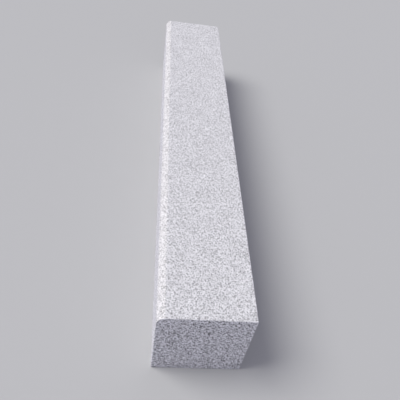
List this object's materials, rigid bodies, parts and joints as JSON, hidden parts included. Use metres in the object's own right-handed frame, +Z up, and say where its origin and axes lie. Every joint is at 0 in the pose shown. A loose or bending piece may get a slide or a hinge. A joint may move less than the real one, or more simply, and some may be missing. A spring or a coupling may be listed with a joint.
{
  "type": "natural stone kerb",
  "caption": "Long square-section block of pale speckled granite with a rounded upper front arris, bedded end to end as the edging of a road, drive or path.",
  "frame": {"origin": "middle of the bed face, on the surface that the kerb rests on", "axes": "+X along the kerb line, -Y to the front face with the rounded upper arris, +Z up"},
  "size_m": [1, 0.15, 0.15],
  "materials": {
    "granite": "fine speckled pale grey granite, dressed rough on the top and front, sawn on the ends, back and bed"
  },
  "bodies": {
    "root": {"kerb_stone": "granite"}
  },
  "joints": []
}
